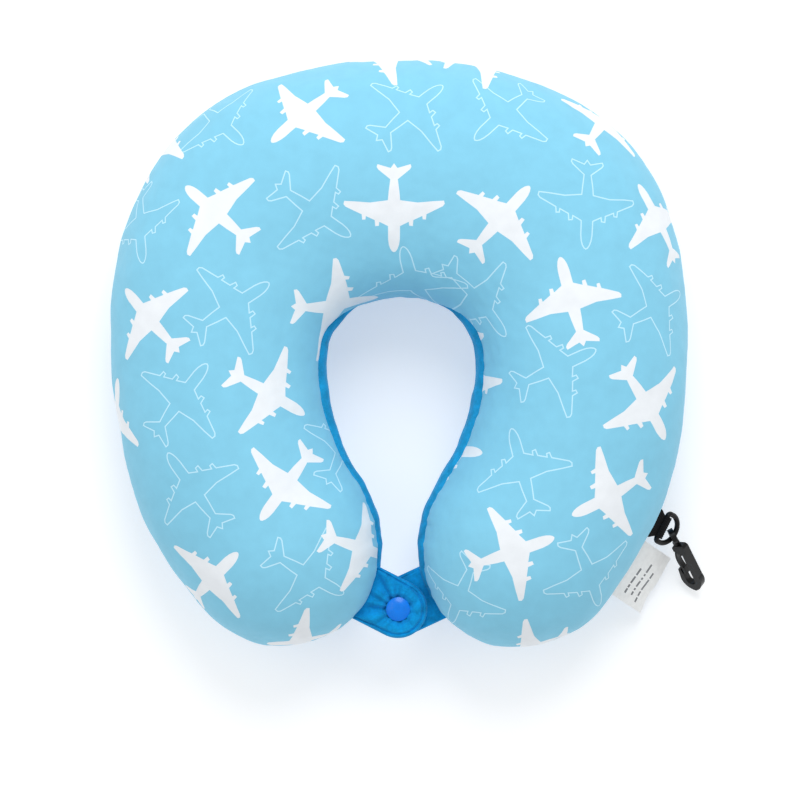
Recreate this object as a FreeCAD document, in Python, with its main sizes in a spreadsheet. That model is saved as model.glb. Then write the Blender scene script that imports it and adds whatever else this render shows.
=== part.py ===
import FreeCAD, Part
import math
import os

import Sketcher

# U-shaped travel neck pillow, lying on its plain back, with its printed front up.
#
# X points to the hook's side of the U, Y from the open end of the U to its closed end, and Z up
# out of the flat stretch of the underside. The origin is on that underside, on the U's line of
# symmetry. The open end is held by two cloth tabs with a plastic snap, and a short webbing loop
# carries a D-ring and a small swivel hook. All sizes are millimetres.

DOC = FreeCAD.newDocument("NeckPillow")
SHEET = DOC.addObject("Spreadsheet::Sheet", "Dims")
X_AXIS = FreeCAD.Vector(1, 0, 0)
Y_AXIS = FreeCAD.Vector(0, 1, 0)
Z_AXIS = FreeCAD.Vector(0, 0, 1)

DIMENSIONS = {
    # the U: its head is an arc about the centre of the head, its two arms bend inwards
    "head_centre_y": -5,
    "head_radius": 94.65,
    "crown_drop": 0.75,
    "arm_half_width": 55.85,
    "crown_swell": 5.75,
    "corner_swell": 5.5,
    "arm_bend_radius": 154,
    "arm_bend_angle": 36.7,
    "arm_taper": 1.35,
    "tip_length": 58,
    "tube_half_height": 51.5,
    "tube_centre_height": 48.5,
    # the cover
    "cloth_thickness": 1.2,
    "seam_inner_height": 62,
    "seam_outer_height": 34,
    # the two tabs
    "tab_width": 29,
    "tab_layer": 1.3,
    "button_tab_reach": 13.6,
    "stud_tab_reach": 16.4,
    "button_tab_bearing": -27,
    "stud_tab_bearing": 205,
    "button_tab_height": 52.6,
    # the snap
    "snap_x": -1,
    "snap_y": -134,
    "snap_post_radius": 1.4,
    "snap_cap_radius": 6.2,
    "snap_cap_rise": 1.7,
    "snap_plate": 0.8,
    "snap_socket_radius": 5.6,
    "snap_nub_radius": 2.9,
    "snap_nub_rise": 1.7,
    "snap_play": 0.3,
    # the webbing loop
    "strap_x": 132.6,
    "strap_y": -89.7,
    "strap_height": 35.2,
    "strap_slope": 36,
    "strap_bearing": -26.6,
    "strap_root_width": 16.3,
    "strap_fold_width": 12.2,
    "strap_layer": 1.2,
    "strap_reach": 6.8,
    # the D-ring
    "ring_slope": 42,
    "ring_rod": 2.8,
    "ring_inner_width": 13,
    "ring_inner_depth": 8,
    "ring_play": 0.1,
    "ring_corner": 1.6,
    "ring_bow_rise": 0.86,
    # the swivel hook
    "hook_slope": 29,
    "hook_bearing": -62,
    "hook_roll": 230,
    "hook_thickness": 4,
    "eye_bow_angle": -14,
    "eye_play": 1.15,
    "eye_rod": 1.8,
    "eye_width": 2.9,
    "stem_radius": 1.1,
    "stem_collar_radius": 1.9,
    "stem_collar_length": 0.9,
    "rivet_head": 1.2,
    "stem_gap": 0.25,
    "block_half_width": 4.1,
    "block_offset": 1.3,
    "block_length": 5.5,
    "hook_length": 31,
    "spine_thickness": 3.7,
    "slot_width": 5.4,
    "nose_thickness": 2.9,
    "bow_thickness": 4.3,
    "bow_length": 9.5,
    "slot_end_length": 3.2,
    "nose_top": 16.2,
    "gate_thickness": 1.4,
    "gate_overlap": 3.8,
    "gate_play": 0.35,
    # the care label
    "label_x": 119.2,
    "label_y": -113.2,
    "label_height": 31.5,
    "label_length": 33,
    "label_reach": 31,
    "label_thickness": 0.5,
    "label_slope": 52,
    "label_bearing": -34,
}

for row, (alias, value) in enumerate(DIMENSIONS.items(), start=1):
    SHEET.set(f"A{row}", alias)
    SHEET.set(f"B{row}", str(value))
    SHEET.setAlias(f"B{row}", alias)
DOC.recompute()


def dim(alias):
    """The value of one driving dimension, read from the sheet."""
    return float(SHEET.get(alias))


def vector(x=0.0, y=0.0, z=0.0):
    return FreeCAD.Vector(x, y, z)


def origin_plane(body, role):
    """One of a body's own origin planes, found by its role."""
    return next(f for f in body.Origin.OriginFeatures if f.Role == role)


def new_body(name):
    body = DOC.addObject("PartDesign::Body", name)
    body.Label = name
    return body


def new_sketch(body, name, role="XY_Plane", offset=None):
    """An empty sketch on one of the body's origin planes, moved by an offset in that plane's frame."""
    sketch = body.newObject("Sketcher::SketchObject", name)
    sketch.AttachmentSupport = [(origin_plane(body, role), "")]
    sketch.MapMode = "FlatFace"
    if offset is not None:
        sketch.AttachmentOffset = offset
    return sketch


def bind(sketch, constraint, expression):
    """Add a dimension to a sketch and drive it from the sheet."""
    index = sketch.addConstraint(constraint)
    sketch.setExpression(f"Constraints[{index}]", expression)


def draw_circle(sketch, radius):
    """A full circle about the sketch's origin, whose radius is an expression."""
    index = sketch.addGeometry(Part.Circle(vector(), Z_AXIS, 1.0), False)
    sketch.addConstraint(Sketcher.Constraint("Coincident", index, 3, -1, 1))
    bind(sketch, Sketcher.Constraint("Radius", index, 1.0), radius)


def draw_outline(sketch, edges):
    """A closed outline from Part curves that already meet end to start."""
    for edge in edges:
        sketch.addGeometry(edge, False)


def line(start, end):
    return Part.LineSegment(vector(*start), vector(*end))


def arc(start, middle, end):
    return Part.Arc(vector(*start), vector(*middle), vector(*end))


def polygon(points):
    return [line(a, b) for a, b in zip(points, points[1:] + points[:1])]


def pad(body, sketch, length, name="Pad", midplane=False):
    """A pad whose length is an expression."""
    feature = body.newObject("PartDesign::Pad", name)
    feature.Profile = sketch
    feature.setExpression("Length", length)
    feature.Midplane = midplane
    return feature


def pocket_through(body, sketch, name="Pocket"):
    """A pocket right through the body, both ways from its sketch."""
    feature = body.newObject("PartDesign::Pocket", name)
    feature.Profile = sketch
    feature.Type = 1
    feature.Midplane = True
    return feature


# ---------------------------------------------------------------- the pillow's U


class Station:
    """One cross-section of the U: where it is, which way is outwards, and how full it is."""

    def __init__(self, place, outward, width, scale=1.0):
        self.place = place
        self.outward = outward
        self.width = width
        self.scale = scale

    def mirrored(self):
        place = vector(-self.place.x, self.place.y, self.place.z)
        outward = vector(-self.outward.x, self.outward.y, 0)
        return Station(place, outward, self.width, self.scale)

    def half_width(self):
        """The section's half width as a number, worked out by the sheet's own expressions."""
        return float(SHEET.evalExpression(self.width))

    def placement(self):
        """The sketch frame: X outwards, Y up, Z along the U."""
        along = self.outward.cross(Z_AXIS)
        return FreeCAD.Placement(
            self.place, FreeCAD.Rotation(self.outward, Z_AXIS, along, "XYZ")
        )


HEAD_ANGLES = (90.0, 67.5, 45.0, 22.5, 0.0)
ARM_FRACTIONS = (1 / 3, 2 / 3, 1.0)
TIP_ANGLES = (25.0, 50.0, 70.0, 84.0)


def head_station(angle):
    """A station on the U's closed end, by its angle from the side."""
    turn = math.radians(angle)
    outward = vector(math.cos(turn), math.sin(turn))
    bulge = dim("corner_swell") * math.sin(2 * turn) ** 2
    radius = dim("head_radius") - dim("crown_drop") * math.sin(turn) ** 2 + bulge
    place = vector(0, dim("head_centre_y"), dim("tube_centre_height")) + outward * radius
    width = (
        f"Dims.arm_half_width + Dims.crown_swell * sin({angle} deg)^2"
        f" + Dims.corner_swell * sin({2 * angle} deg)^2"
    )
    return Station(place, outward, width)


def arm_station(fraction):
    """A station on the right arm, by how far along the arm's bend it is."""
    turn = math.radians(dim("arm_bend_angle")) * fraction
    outward = vector(math.cos(turn), -math.sin(turn))
    bend_x = dim("head_radius") - dim("arm_bend_radius")
    centre = vector(bend_x, dim("head_centre_y"), dim("tube_centre_height"))
    place = centre + outward * dim("arm_bend_radius")
    return Station(place, outward, f"Dims.arm_half_width - {fraction} * Dims.arm_taper")


def tip_station(angle, inset):
    """A station on the arm's rounded end, which closes as a quarter of an ellipse."""
    root = arm_station(1.0)
    along = root.outward.cross(Z_AXIS)
    turn = math.radians(angle)
    length = dim("tip_length") - inset * dim("cloth_thickness")
    place = root.place + along * (length * math.sin(turn))
    return Station(place, root.outward, root.width, math.cos(turn))


def all_stations(inset):
    """The whole U, from the left tip over the head to the right tip."""
    right = [head_station(angle) for angle in HEAD_ANGLES]
    right += [arm_station(fraction) for fraction in ARM_FRACTIONS]
    right += [tip_station(angle, inset) for angle in TIP_ANGLES]
    left = [station.mirrored() for station in reversed(right[1:])]
    return left + right


def tube_form(name, inset):
    """The stuffed U as a loft through ellipses, drawn in by an inset all round."""
    body = new_body(name)
    sketches = []
    for index, station in enumerate(all_stations(inset)):
        sketch = new_sketch(body, f"{name}_section_{index}", offset=station.placement())
        ellipse = Part.Ellipse(vector(50, 0), vector(0, 45), vector())
        sketch.addGeometry(ellipse, False)
        sketch.exposeInternalGeometry(0)
        sketch.addConstraint(Sketcher.Constraint("Coincident", 0, 3, -1, 1))
        sketch.addConstraint(Sketcher.Constraint("Horizontal", 1))
        scale = round(station.scale, 5)
        bind(
            sketch,
            Sketcher.Constraint("Distance", 1, 100.0),
            f"2 * {scale} * ({station.width} - {inset} * Dims.cloth_thickness)",
        )
        bind(
            sketch,
            Sketcher.Constraint("Distance", 2, 90.0),
            f"2 * {scale} * (Dims.tube_half_height - {inset} * Dims.cloth_thickness)",
        )
        sketches.append(sketch)
    DOC.recompute()
    loft = body.newObject("PartDesign::AdditiveLoft", f"{name}_loft")
    loft.Profile = sketches[0]
    loft.Sections = sketches[1:]
    return body


def below_seam_form():
    """Everything below the seam, which runs lower round the outside of the U than inside it."""
    # It reaches this far outside the cover, so that its own sides never graze the cloth.
    reach = 4.0
    beyond = -reach / dim("cloth_thickness")
    body = new_body("below_seam")
    sketches = []
    drop = dim("tube_centre_height") + reach
    inner = dim("seam_inner_height") - dim("tube_centre_height")
    outer = dim("seam_outer_height") - dim("tube_centre_height")
    for index, station in enumerate(all_stations(beyond)):
        sketch = new_sketch(body, f"seam_section_{index}", offset=station.placement())
        side = station.half_width() * station.scale + reach
        corners = [(-side, -drop), (side, -drop), (side, outer), (-side, inner)]
        draw_outline(sketch, polygon(corners))
        sketches.append(sketch)
    DOC.recompute()
    loft = body.newObject("PartDesign::AdditiveLoft", "seam_loft")
    loft.Profile = sketches[0]
    loft.Sections = sketches[1:]
    return body


def boolean(kind, name, base, tool):
    """A Part boolean of two objects, Cut or Common."""
    feature = DOC.addObject(f"Part::{kind}", name)
    feature.Base = base
    feature.Tool = tool
    feature.Label = name
    return feature


def floor_slab(name, top):
    """A slab whose top face trims the underside flat, where the pillow rests."""
    slab = DOC.addObject("Part::Box", name)
    slab.Length = 400
    slab.Width = 400
    slab.Height = 20
    slab.Placement.Base = vector(-200, -200, -20)
    slab.setExpression("Placement.Base.z", f"{top} * Dims.cloth_thickness - 20")
    return slab


def make_pillow():
    """The cover's printed front, its plain back, and the beads that fill it."""
    outer = boolean("Cut", "outer_form", tube_form("outer_tube", 0), floor_slab("floor", 0))
    filling = boolean("Cut", "bead_filling", tube_form("inner_tube", 1), floor_slab("inner_floor", 1))
    below = below_seam_form()
    front = boolean("Cut", "front_panel", boolean("Cut", "front_form", outer, below), filling)
    back = boolean("Cut", "back_panel", boolean("Common", "back_form", outer, below), filling)
    return [front, back, filling]


# ---------------------------------------------------------------- the tabs and their snap


def snap_gap():
    """The space between the two tabs' cloth, which the socket and the stud fill."""
    return 2 * dim("snap_plate") + dim("snap_nub_rise") + dim("snap_play")


def snap_placement(bearing, height):
    """The snap's axis, turned to a tab's bearing, at the underside of that tab's cloth."""
    centre = vector(dim("snap_x"), dim("snap_y"), height)
    return FreeCAD.Placement(centre, FreeCAD.Rotation(Z_AXIS, dim(bearing)))


def shifted(place, x=0.0, z=0.0):
    """A placement moved along its own axes."""
    return place.multiply(FreeCAD.Placement(vector(x, 0, z), FreeCAD.Rotation()))


def tab_layer(name, place, reach, floor):
    """One cloth layer of a tab: straight sides, a round free end and a hole for the snap's post."""
    body = new_body(name)
    lift = FreeCAD.Placement(vector(0, 0, floor * dim("tab_layer")), FreeCAD.Rotation())
    sketch = new_sketch(body, f"{name}_outline", offset=lift)
    half = dim("tab_width") / 2
    run = dim(reach)
    draw_outline(
        sketch,
        [
            line((0, -half), (run, -half)),
            arc((run, -half), (run + half, 0), (run, half)),
            line((run, half), (0, half)),
            line((0, half), (0, -half)),
        ],
    )
    for first, second in ((0, 1), (1, 2), (2, 3), (3, 0)):
        sketch.addConstraint(Sketcher.Constraint("Coincident", first, 2, second, 1))
    sketch.addConstraint(Sketcher.Constraint("Horizontal", 0))
    sketch.addConstraint(Sketcher.Constraint("Horizontal", 2))
    sketch.addConstraint(Sketcher.Constraint("Equal", 0, 2))
    sketch.addConstraint(Sketcher.Constraint("PointOnObject", 3, 1, -2))
    bind(sketch, Sketcher.Constraint("DistanceY", 3, 2, 3, 1, 2 * half), "Dims.tab_width")
    bind(sketch, Sketcher.Constraint("DistanceY", 3, 2, -1, 1, half), "Dims.tab_width / 2")
    bind(sketch, Sketcher.Constraint("DistanceX", 0, 1, 0, 2, run), f"Dims.{reach}")
    bind(sketch, Sketcher.Constraint("DistanceX", -1, 1, 1, 3, run), f"Dims.{reach}")
    hole = sketch.addGeometry(Part.Circle(vector(run, 0), Z_AXIS, 1.0), False)
    sketch.addConstraint(Sketcher.Constraint("PointOnObject", hole, 3, -1))
    bind(sketch, Sketcher.Constraint("DistanceX", -1, 1, hole, 3, run), f"Dims.{reach}")
    bind(sketch, Sketcher.Constraint("Radius", hole, 1.0), "Dims.snap_post_radius")
    pad(body, sketch, "Dims.tab_layer", f"{name}_cloth")
    body.Placement = place
    return body


def revolved(name, place, outline):
    """A turned piece from an outline in the plane of its axis, which is Z."""
    body = new_body(name)
    sketch = new_sketch(body, f"{name}_profile", role="XZ_Plane")
    draw_outline(sketch, outline)
    turn = body.newObject("PartDesign::Revolution", f"{name}_turned")
    turn.Profile = sketch
    turn.ReferenceAxis = (sketch, ["V_Axis"])
    turn.Angle = 360
    body.Placement = place
    return body


def snap_cap(name, place):
    """A domed cap over the cloth, with the post that goes down through it; Z is 0 at the cloth."""
    radius = dim("snap_cap_radius")
    rise = dim("snap_cap_rise")
    post = dim("snap_post_radius")
    depth = 2 * dim("tab_layer")
    edge = 0.5
    flat_top = 0.12 * radius
    outline = [
        line((0, -depth), (post, -depth)),
        line((post, -depth), (post, 0)),
        line((post, 0), (radius, 0)),
        line((radius, 0), (radius, edge)),
        arc((radius, edge), (0.62 * radius, edge + 0.72 * (rise - edge)), (flat_top, rise)),
        line((flat_top, rise), (0, rise)),
        line((0, rise), (0, -depth)),
    ]
    return revolved(name, place, outline)


def snap_socket(name, place):
    """The socket under the upper tab; Z is 0 at the cloth and its bore faces down."""
    radius = dim("snap_socket_radius")
    bore = dim("snap_nub_radius") + dim("snap_play")
    plate = dim("snap_plate")
    depth = plate + dim("snap_nub_rise")
    outline = [
        line((0, 0), (0, -plate)),
        line((0, -plate), (bore, -plate)),
        line((bore, -plate), (bore, -depth)),
        line((bore, -depth), (0.8 * radius, -depth)),
        arc((0.8 * radius, -depth), (0.95 * radius, -0.7 * depth), (radius, -0.3 * depth)),
        line((radius, -0.3 * depth), (radius, 0)),
        line((radius, 0), (0, 0)),
    ]
    return revolved(name, place, outline)


def snap_stud(name, place):
    """The stud on the lower tab; Z is 0 at the cloth and its nub points up."""
    radius = dim("snap_socket_radius")
    nub = dim("snap_nub_radius")
    plate = dim("snap_plate")
    top = plate + dim("snap_nub_rise")
    waist = nub - 0.35
    outline = [
        line((0, 0), (radius, 0)),
        line((radius, 0), (radius, 0.6 * plate)),
        line((radius, 0.6 * plate), (nub + 1, plate)),
        line((nub + 1, plate), (waist, plate)),
        line((waist, plate), (nub, plate + 0.6 * (top - plate))),
        arc((nub, plate + 0.6 * (top - plate)), (0.85 * nub, top - 0.2), (0.6 * nub, top)),
        line((0.6 * nub, top), (0, top)),
        line((0, top), (0, 0)),
    ]
    return revolved(name, place, outline)


def make_button_tab():
    """The upper tab, from the left arm, with the cap above and the socket below."""
    at_snap = snap_placement("button_tab_bearing", dim("button_tab_height"))
    root = shifted(at_snap, x=-dim("button_tab_reach"))
    return [
        tab_layer("button_tab_lining", root, "button_tab_reach", 0),
        tab_layer("button_tab_face", root, "button_tab_reach", 1),
        snap_cap("snap_cap", shifted(at_snap, z=2 * dim("tab_layer"))),
        snap_socket("snap_socket", at_snap),
    ]


def make_stud_tab():
    """The lower tab, from the right arm, with the stud above and its cap below."""
    height = dim("button_tab_height") - snap_gap() - 2 * dim("tab_layer")
    at_snap = snap_placement("stud_tab_bearing", height)
    root = shifted(at_snap, x=-dim("stud_tab_reach"))
    upside_down = FreeCAD.Placement(vector(), FreeCAD.Rotation(X_AXIS, 180))
    return [
        tab_layer("stud_tab_lining", root, "stud_tab_reach", 0),
        tab_layer("stud_tab_face", root, "stud_tab_reach", 1),
        snap_stud("snap_stud", shifted(at_snap, z=2 * dim("tab_layer"))),
        snap_cap("snap_stud_cap", at_snap.multiply(upside_down)),
    ]


# ---------------------------------------------------------------- the strap, D-ring and hook


def strap_placement():
    """The webbing's frame where it leaves the seam: X out along it, Y along the seam."""
    root = vector(dim("strap_x"), dim("strap_y"), dim("strap_height"))
    turned = FreeCAD.Rotation(Z_AXIS, dim("strap_bearing"))
    tilted = FreeCAD.Rotation(Y_AXIS, dim("strap_slope"))
    return FreeCAD.Placement(root, turned.multiply(tilted))


def ring_placement():
    """The D-ring's frame: at the middle of its straight bar, X towards its bow, Y along the bar."""
    bar = strap_placement().multVec(vector(dim("strap_reach")))
    turned = FreeCAD.Rotation(Z_AXIS, dim("strap_bearing"))
    tilted = FreeCAD.Rotation(Y_AXIS, dim("ring_slope"))
    return FreeCAD.Placement(bar, turned.multiply(tilted))


def make_strap():
    """A strip of webbing folded round the D-ring's bar, both ends sewn into the seam."""
    body = new_body("strap_webbing")
    bore = dim("ring_rod") / 2 + dim("ring_play")
    outer = bore + dim("strap_layer")
    reach = dim("strap_reach")
    layer = dim("strap_layer")
    meet = reach - math.sqrt(outer**2 - layer**2)
    sketch = new_sketch(body, "strap_side", role="XZ_Plane")
    draw_outline(
        sketch,
        [
            line((0, layer), (0, -layer)),
            line((0, -layer), (meet, -layer)),
            arc((meet, -layer), (reach + outer, 0), (meet, layer)),
            line((meet, layer), (0, layer)),
        ],
    )
    bar_hole = sketch.addGeometry(Part.Circle(vector(reach, 0), Z_AXIS, bore), False)
    bind(sketch, Sketcher.Constraint("Radius", bar_hole, bore), "Dims.ring_rod / 2 + Dims.ring_play")
    pad(body, sketch, "Dims.strap_root_width", "strap_strip", midplane=True)
    trim = new_sketch(body, "strap_taper")
    root_half = dim("strap_root_width") / 2
    fold_half = dim("strap_fold_width") / 2
    taper_end = reach - outer
    far = reach + outer + 1
    for side in (1, -1):
        corners = [
            (0, side * root_half),
            (taper_end, side * fold_half),
            (far, side * fold_half),
            (far, side * (root_half + 1)),
            (0, side * (root_half + 1)),
        ]
        draw_outline(trim, polygon(corners))
    pocket_through(body, trim, "strap_tapered")
    body.Placement = strap_placement()
    return body


def ring_bow():
    """The D-ring's rod line: half its width, its depth, where its bow begins, the bow's radius."""
    rod = dim("ring_rod")
    half = (dim("ring_inner_width") + rod) / 2
    depth = dim("ring_inner_depth") + rod
    rise = dim("ring_bow_rise") * half
    return half, depth, depth - rise, (half**2 + rise**2) / (2 * rise)


def ring_path():
    """The D-ring's rod line in its own plane: the bar, two short sides and the bow."""
    half, depth, side, _ = ring_bow()
    corner = dim("ring_corner")
    bend = corner * (1 - math.sqrt(0.5))
    return [
        line((0, -half + corner), (0, half - corner)),
        arc((0, half - corner), (bend, half - bend), (corner, half)),
        line((corner, half), (side, half)),
        arc((side, half), (depth, 0), (side, -half)),
        line((side, -half), (corner, -half)),
        arc((corner, -half), (bend, -half + bend), (0, -half + corner)),
    ]


def make_d_ring():
    """A moulded D-ring of round rod."""
    body = new_body("d_ring")
    path = new_sketch(body, "ring_line")
    draw_outline(path, ring_path())
    section = new_sketch(body, "ring_section", role="XZ_Plane")
    draw_circle(section, "Dims.ring_rod / 2")
    DOC.recompute()
    sweep = body.newObject("PartDesign::AdditivePipe", "ring_rod")
    sweep.Profile = section
    sweep.Spine = (path, [f"Edge{i + 1}" for i in range(6)])
    sweep.Transition = 2
    body.Placement = ring_placement()
    return body


def hook_placement():
    """The hook's frame: at the eye's centre, X along the hook, Y to its nose side, Z across it."""
    _, depth, _, radius = ring_bow()
    turn = math.radians(dim("eye_bow_angle"))
    on_bow = vector(depth - radius + radius * math.cos(turn), radius * math.sin(turn))
    eye_centre = ring_placement().multVec(on_bow)
    turned = FreeCAD.Rotation(Z_AXIS, dim("hook_bearing"))
    tilted = FreeCAD.Rotation(Y_AXIS, dim("hook_slope"))
    return FreeCAD.Placement(eye_centre, turned.multiply(tilted))


def eye_radii():
    """The eye's bore and outer radius."""
    bore = dim("ring_rod") / 2 + dim("eye_play")
    return bore, bore + dim("eye_rod")


def block_start():
    """How far from the eye's centre the hook's block begins."""
    return eye_radii()[1] + dim("stem_gap") + dim("stem_collar_length")


def make_eye():
    """The swivel's eye round the D-ring, with its stem through the hook's block and a rivet head."""
    body = new_body("swivel_eye")
    bore, outer = eye_radii()
    ring = new_sketch(body, "eye_face", role="XZ_Plane")
    draw_circle(ring, "Dims.ring_rod / 2 + Dims.eye_play + Dims.eye_rod")
    draw_circle(ring, "Dims.ring_rod / 2 + Dims.eye_play")
    pad(body, ring, "Dims.eye_width", "eye_ring", midplane=True)
    stem_radius = dim("stem_radius")
    neck = outer - 0.6
    shoulder = block_start() - dim("stem_gap")
    far = block_start() + dim("block_length") + dim("stem_gap")
    head = dim("rivet_head")
    collar = dim("stem_collar_radius")
    head_radius = stem_radius + 0.4
    stem = new_sketch(body, "eye_stem")
    outline = [
        line((neck, 0), (far + head, 0)),
        line((far + head, 0), (far + head, head_radius)),
        line((far + head, head_radius), (far, head_radius)),
        line((far, head_radius), (far, stem_radius)),
        line((far, stem_radius), (shoulder, stem_radius)),
        line((shoulder, stem_radius), (shoulder, collar)),
        line((shoulder, collar), (neck, collar)),
        line((neck, collar), (neck, 0)),
    ]
    draw_outline(stem, outline)
    turn = body.newObject("PartDesign::Revolution", "stem_turned")
    turn.Profile = stem
    turn.ReferenceAxis = (stem, ["H_Axis"])
    turn.Angle = 360
    body.Placement = hook_placement()
    return body


def hook_levels():
    """Distances along the hook from the eye's centre, and across it from the stem's line."""
    start = block_start()
    left = -dim("block_half_width") - dim("block_offset")
    slot_left = left + dim("spine_thickness")
    slot_right = slot_left + dim("slot_width")
    return {
        "start": start,
        "block_end": start + dim("block_length"),
        "nose_top": start + dim("nose_top"),
        "tip": start + dim("hook_length"),
        "left": left,
        "block_right": left + 2 * dim("block_half_width"),
        "slot_left": slot_left,
        "slot_right": slot_right,
        "right": slot_right + dim("nose_thickness"),
    }


def gate_pivot():
    """Where the gate bends: in a round notch at the nose side of the block's end."""
    level = hook_levels()
    return level["block_end"] - 1.2, level["block_right"] - 1.0


def roll():
    """The hook's turn about its stem at rest."""
    return FreeCAD.Placement(vector(), FreeCAD.Rotation(X_AXIS, dim("hook_roll")))


def make_hook_body():
    """The hook: a block on the swivel's stem, a spine, a rounded bow and a short nose."""
    body = new_body("hook_body")
    level = hook_levels()
    right = level["block_right"]
    left = level["left"]
    bow = dim("bow_thickness")
    middle = (left + level["right"]) / 2
    half_bow = (level["right"] - left) / 2
    bow_length = dim("bow_length")
    bow_start = level["tip"] - bow_length
    inner_bow = level["tip"] - bow
    inner_middle = (level["slot_left"] + level["slot_right"]) / 2
    inner_start = inner_bow - dim("slot_end_length")
    corner = 1.2
    slope = 0.72
    pivot_x, pivot_y = gate_pivot()
    knuckle = dim("gate_thickness") / 2 + 0.2
    sketch = new_sketch(body, "hook_outline")
    draw_outline(
        sketch,
        [
            line((level["start"], left + corner), (level["start"], right - corner)),
            line((level["start"], right - corner), (level["start"] + corner, right)),
            line((level["start"] + corner, right), (pivot_x, right)),
            line((pivot_x, right), (pivot_x, pivot_y + knuckle)),
            arc((pivot_x, pivot_y + knuckle), (pivot_x - knuckle, pivot_y), (pivot_x, pivot_y - knuckle)),
            line((pivot_x, pivot_y - knuckle), (level["block_end"], pivot_y - knuckle)),
            line((level["block_end"], pivot_y - knuckle), (level["block_end"], level["slot_left"])),
            line((level["block_end"], level["slot_left"]), (inner_start, level["slot_left"])),
            arc(
                (inner_start, level["slot_left"]),
                (inner_bow, inner_middle),
                (inner_start, level["slot_right"]),
            ),
            line((inner_start, level["slot_right"]), (level["nose_top"], level["slot_right"] + 0.4)),
            line((level["nose_top"], level["slot_right"] + 0.4), (level["nose_top"], level["right"] - 0.9)),
            line((level["nose_top"], level["right"] - 0.9), (bow_start, level["right"])),
            arc(
                (bow_start, level["right"]),
                (bow_start + bow_length * slope, middle + half_bow * slope),
                (level["tip"], middle),
            ),
            arc(
                (level["tip"], middle),
                (bow_start + bow_length * slope, middle - half_bow * slope),
                (bow_start, left),
            ),
            line((bow_start, left), (level["start"] + corner, left)),
            line((level["start"] + corner, left), (level["start"], left + corner)),
        ],
    )
    flat = pad(body, sketch, "Dims.hook_thickness", "hook_plate", midplane=True)
    DOC.recompute()
    bore = new_sketch(body, "stem_bore", role="YZ_Plane")
    draw_circle(bore, "Dims.stem_radius + 0.1")
    cut = body.newObject("PartDesign::Pocket", "stem_hole")
    cut.Profile = bore
    cut.Type = 0
    cut.Length = level["block_end"] + 1
    cut.Reversed = True
    DOC.recompute()
    if cut.Shape.Volume >= flat.Shape.Volume - 1:
        raise RuntimeError("the stem's bore misses the hook's block")
    body.Placement = hook_placement().multiply(roll())
    return body


def make_gate():
    """The sprung tongue that closes the hook, its end tucked inside the nose."""
    body = new_body("hook_gate")
    level = hook_levels()
    pivot_x, pivot_y = gate_pivot()
    half = dim("gate_thickness") / 2
    end_x = level["nose_top"] + dim("gate_overlap")
    end_y = level["slot_right"] - dim("gate_play") - half
    bow_x = (pivot_x + end_x) / 2 - 1.5
    bow_y = max(pivot_y, end_y) + 0.9
    nose_x = level["nose_top"] - 0.3
    nose_y = level["slot_right"] - 0.3 - half
    sketch = new_sketch(body, "gate_outline")
    draw_outline(
        sketch,
        [
            arc((pivot_x, pivot_y - half), (pivot_x - half, pivot_y), (pivot_x, pivot_y + half)),
            arc((pivot_x, pivot_y + half), (bow_x, bow_y + half), (nose_x, nose_y + half)),
            line((nose_x, nose_y + half), (end_x, end_y + half)),
            line((end_x, end_y + half), (end_x, end_y - half)),
            line((end_x, end_y - half), (nose_x, nose_y - half)),
            arc((nose_x, nose_y - half), (bow_x, bow_y - half), (pivot_x, pivot_y - half)),
        ],
    )
    pad(body, sketch, "Dims.hook_thickness - 0.8", "gate_tongue", midplane=True)
    body.Placement = hook_placement().multiply(roll())
    return body


def make_care_label():
    """The folded satin label, sewn into the seam below the strap."""
    body = new_body("care_label")
    sketch = new_sketch(body, "label_outline")
    reach = dim("label_reach")
    half = dim("label_length") / 2
    start = sketch.addGeometry(line((0, -half), (reach, -half)), False)
    sketch.addGeometry(line((reach, -half), (reach, half)), False)
    sketch.addGeometry(line((reach, half), (0, half)), False)
    sketch.addGeometry(line((0, half), (0, -half)), False)
    for first, second in ((0, 1), (1, 2), (2, 3), (3, 0)):
        sketch.addConstraint(Sketcher.Constraint("Coincident", first, 2, second, 1))
    sketch.addConstraint(Sketcher.Constraint("Horizontal", start))
    sketch.addConstraint(Sketcher.Constraint("Horizontal", 2))
    sketch.addConstraint(Sketcher.Constraint("Vertical", 1))
    sketch.addConstraint(Sketcher.Constraint("PointOnObject", 3, 1, -2))
    bind(sketch, Sketcher.Constraint("DistanceY", 3, 2, 3, 1, 2 * half), "Dims.label_length")
    bind(sketch, Sketcher.Constraint("DistanceY", 3, 2, -1, 1, half), "Dims.label_length / 2")
    bind(sketch, Sketcher.Constraint("DistanceX", 0, 1, 0, 2, reach), "Dims.label_reach")
    pad(body, sketch, "Dims.label_thickness", "label_cloth", midplane=True)
    turned = FreeCAD.Rotation(Z_AXIS, dim("label_bearing"))
    tilted = FreeCAD.Rotation(Y_AXIS, dim("label_slope"))
    root = vector(dim("label_x"), dim("label_y"), dim("label_height"))
    body.Placement = FreeCAD.Placement(root, turned.multiply(tilted))
    return body


# ---------------------------------------------------------------- build, check and write


def check_document():
    for item in DOC.Objects:
        if {"Invalid", "Error"} & set(item.State):
            why = item.getStatusString()
            raise RuntimeError(f"{item.Name} did not recompute: {item.State} {why}")


def write_parts(pieces):
    os.makedirs("parts", exist_ok=True)
    for piece in pieces:
        shape = piece.Shape
        if shape.isNull() or not shape.isValid() or not shape.Solids:
            raise RuntimeError(f"{piece.Label} has no valid solid")
        shape.exportStep(f"parts/{piece.Label}.step")
        box = shape.BoundBox
        print(
            f"{piece.Label:20s} {len(shape.Solids)} solid {shape.Volume:12.1f} mm3"
            f"  x {box.XMin:.1f}..{box.XMax:.1f} y {box.YMin:.1f}..{box.YMax:.1f}"
            f" z {box.ZMin:.1f}..{box.ZMax:.1f}"
        )


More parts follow.
